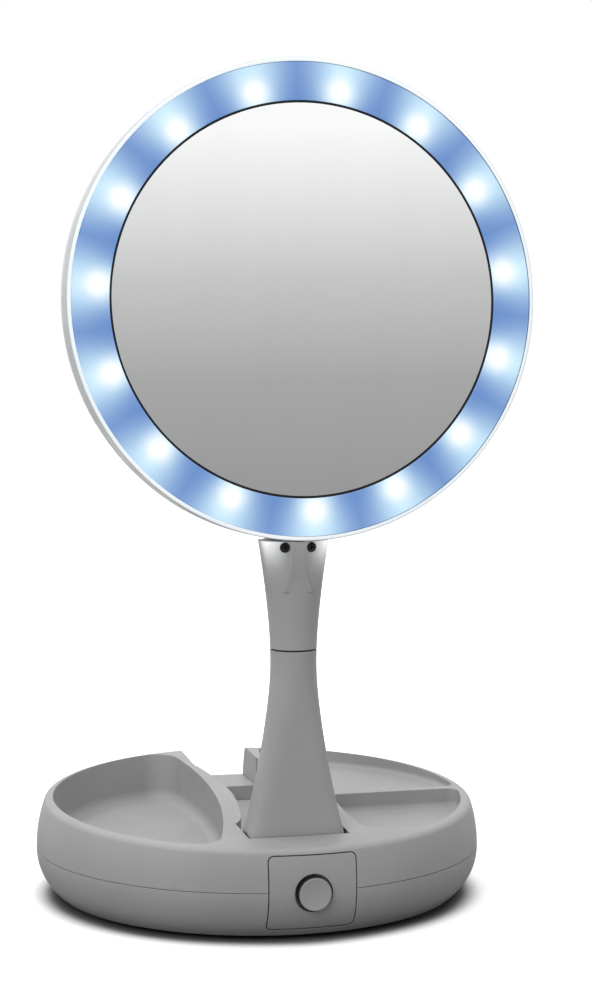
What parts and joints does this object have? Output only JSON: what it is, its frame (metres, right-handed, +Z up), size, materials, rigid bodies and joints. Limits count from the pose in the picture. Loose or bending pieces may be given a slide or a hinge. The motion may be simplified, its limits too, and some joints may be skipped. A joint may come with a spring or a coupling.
{
  "type": "lighted folding makeup mirror",
  "caption": "Round makeup mirror with a lit ring, on a folding arm with a turning neck, over a round base with open trays and a push button.",
  "frame": {"origin": "on the table under the middle of the round base", "axes": "+Z up, -Y towards the user in front of the mirror, +X to the user's right"},
  "size_m": [0.175, 0.1771, 0.3201],
  "materials": {
    "grey_shell": "satin moulded",
    "white_shell": "gloss moulded",
    "panel_grey": "satin",
    "button_grey": "semi-gloss",
    "cell_wrap": "plain wrap",
    "spring_steel": "plain",
    "black_rubber": "matte",
    "dark_screw": "black oxide",
    "board_green": "solder mask",
    "board_white": "white solder mask",
    "switch_black": "matte",
    "nylon_white": "plain",
    "lit_diffuser": "milky, lit",
    "lamp_white": "lit",
    "mirror": "silvered"
  },
  "bodies": {
    "base": {"base_upper_shell": "grey_shell", "base_lower_shell": "grey_shell", "battery_cells": "cell_wrap", "battery_contacts": "spring_steel", "rubber_feet": "black_rubber", "base_screws": "dark_screw", "circuit_board": "board_green", "control_panel": "panel_grey", "push_switch": "switch_black", "arm_pivot_pin": "spring_steel", "friction_washers": "switch_black"},
    "cover": {"battery_cover": "grey_shell"},
    "button": {"power_button": "button_grey"},
    "lower_arm": {"lower_arm": "grey_shell", "neck_bush": "nylon_white"},
    "upper_arm": {"neck_washer": "switch_black", "swivel_stem": "spring_steel", "upper_arm_front": "grey_shell", "upper_arm_back": "grey_shell", "arm_screws": "dark_screw"},
    "head": {"hinge_pin": "spring_steel", "head_back": "white_shell", "head_bezel": "white_shell", "diffuser_ring": "lit_diffuser", "lamp_board": "board_white", "lamps": "lamp_white", "mirror_glass": "mirror", "mirror_gasket": "black_rubber", "head_screws": "dark_screw"}
  },
  "joints": [
    {"name": "arm_fold", "type": "hinge", "parent": "base", "child": "lower_arm", "pos_m": [0, -0.0575, 0.0325], "axis": [-1, 0, 0], "range_deg": [0, 86]},
    {"name": "neck_swivel", "type": "hinge", "parent": "lower_arm", "child": "upper_arm", "pos_m": [0, -0.0575, 0.1043], "axis": [0, 0, 1], "range_deg": [0, 180]},
    {"name": "head_tilt", "type": "hinge", "parent": "upper_arm", "child": "head", "pos_m": [0, -0.0545, 0.1602], "axis": [-1, 0, 0], "range_deg": [-2, 123]},
    {"name": "power_button", "type": "slide", "parent": "base", "child": "button", "axis": [0, 1, 0], "range_m": [0, 0.0012], "stiffness_N_per_m": 900},
    {"name": "battery_cover", "type": "slide", "parent": "base", "child": "cover", "axis": [0, -1, 0], "range_m": [0, 0.014]}
  ]
}
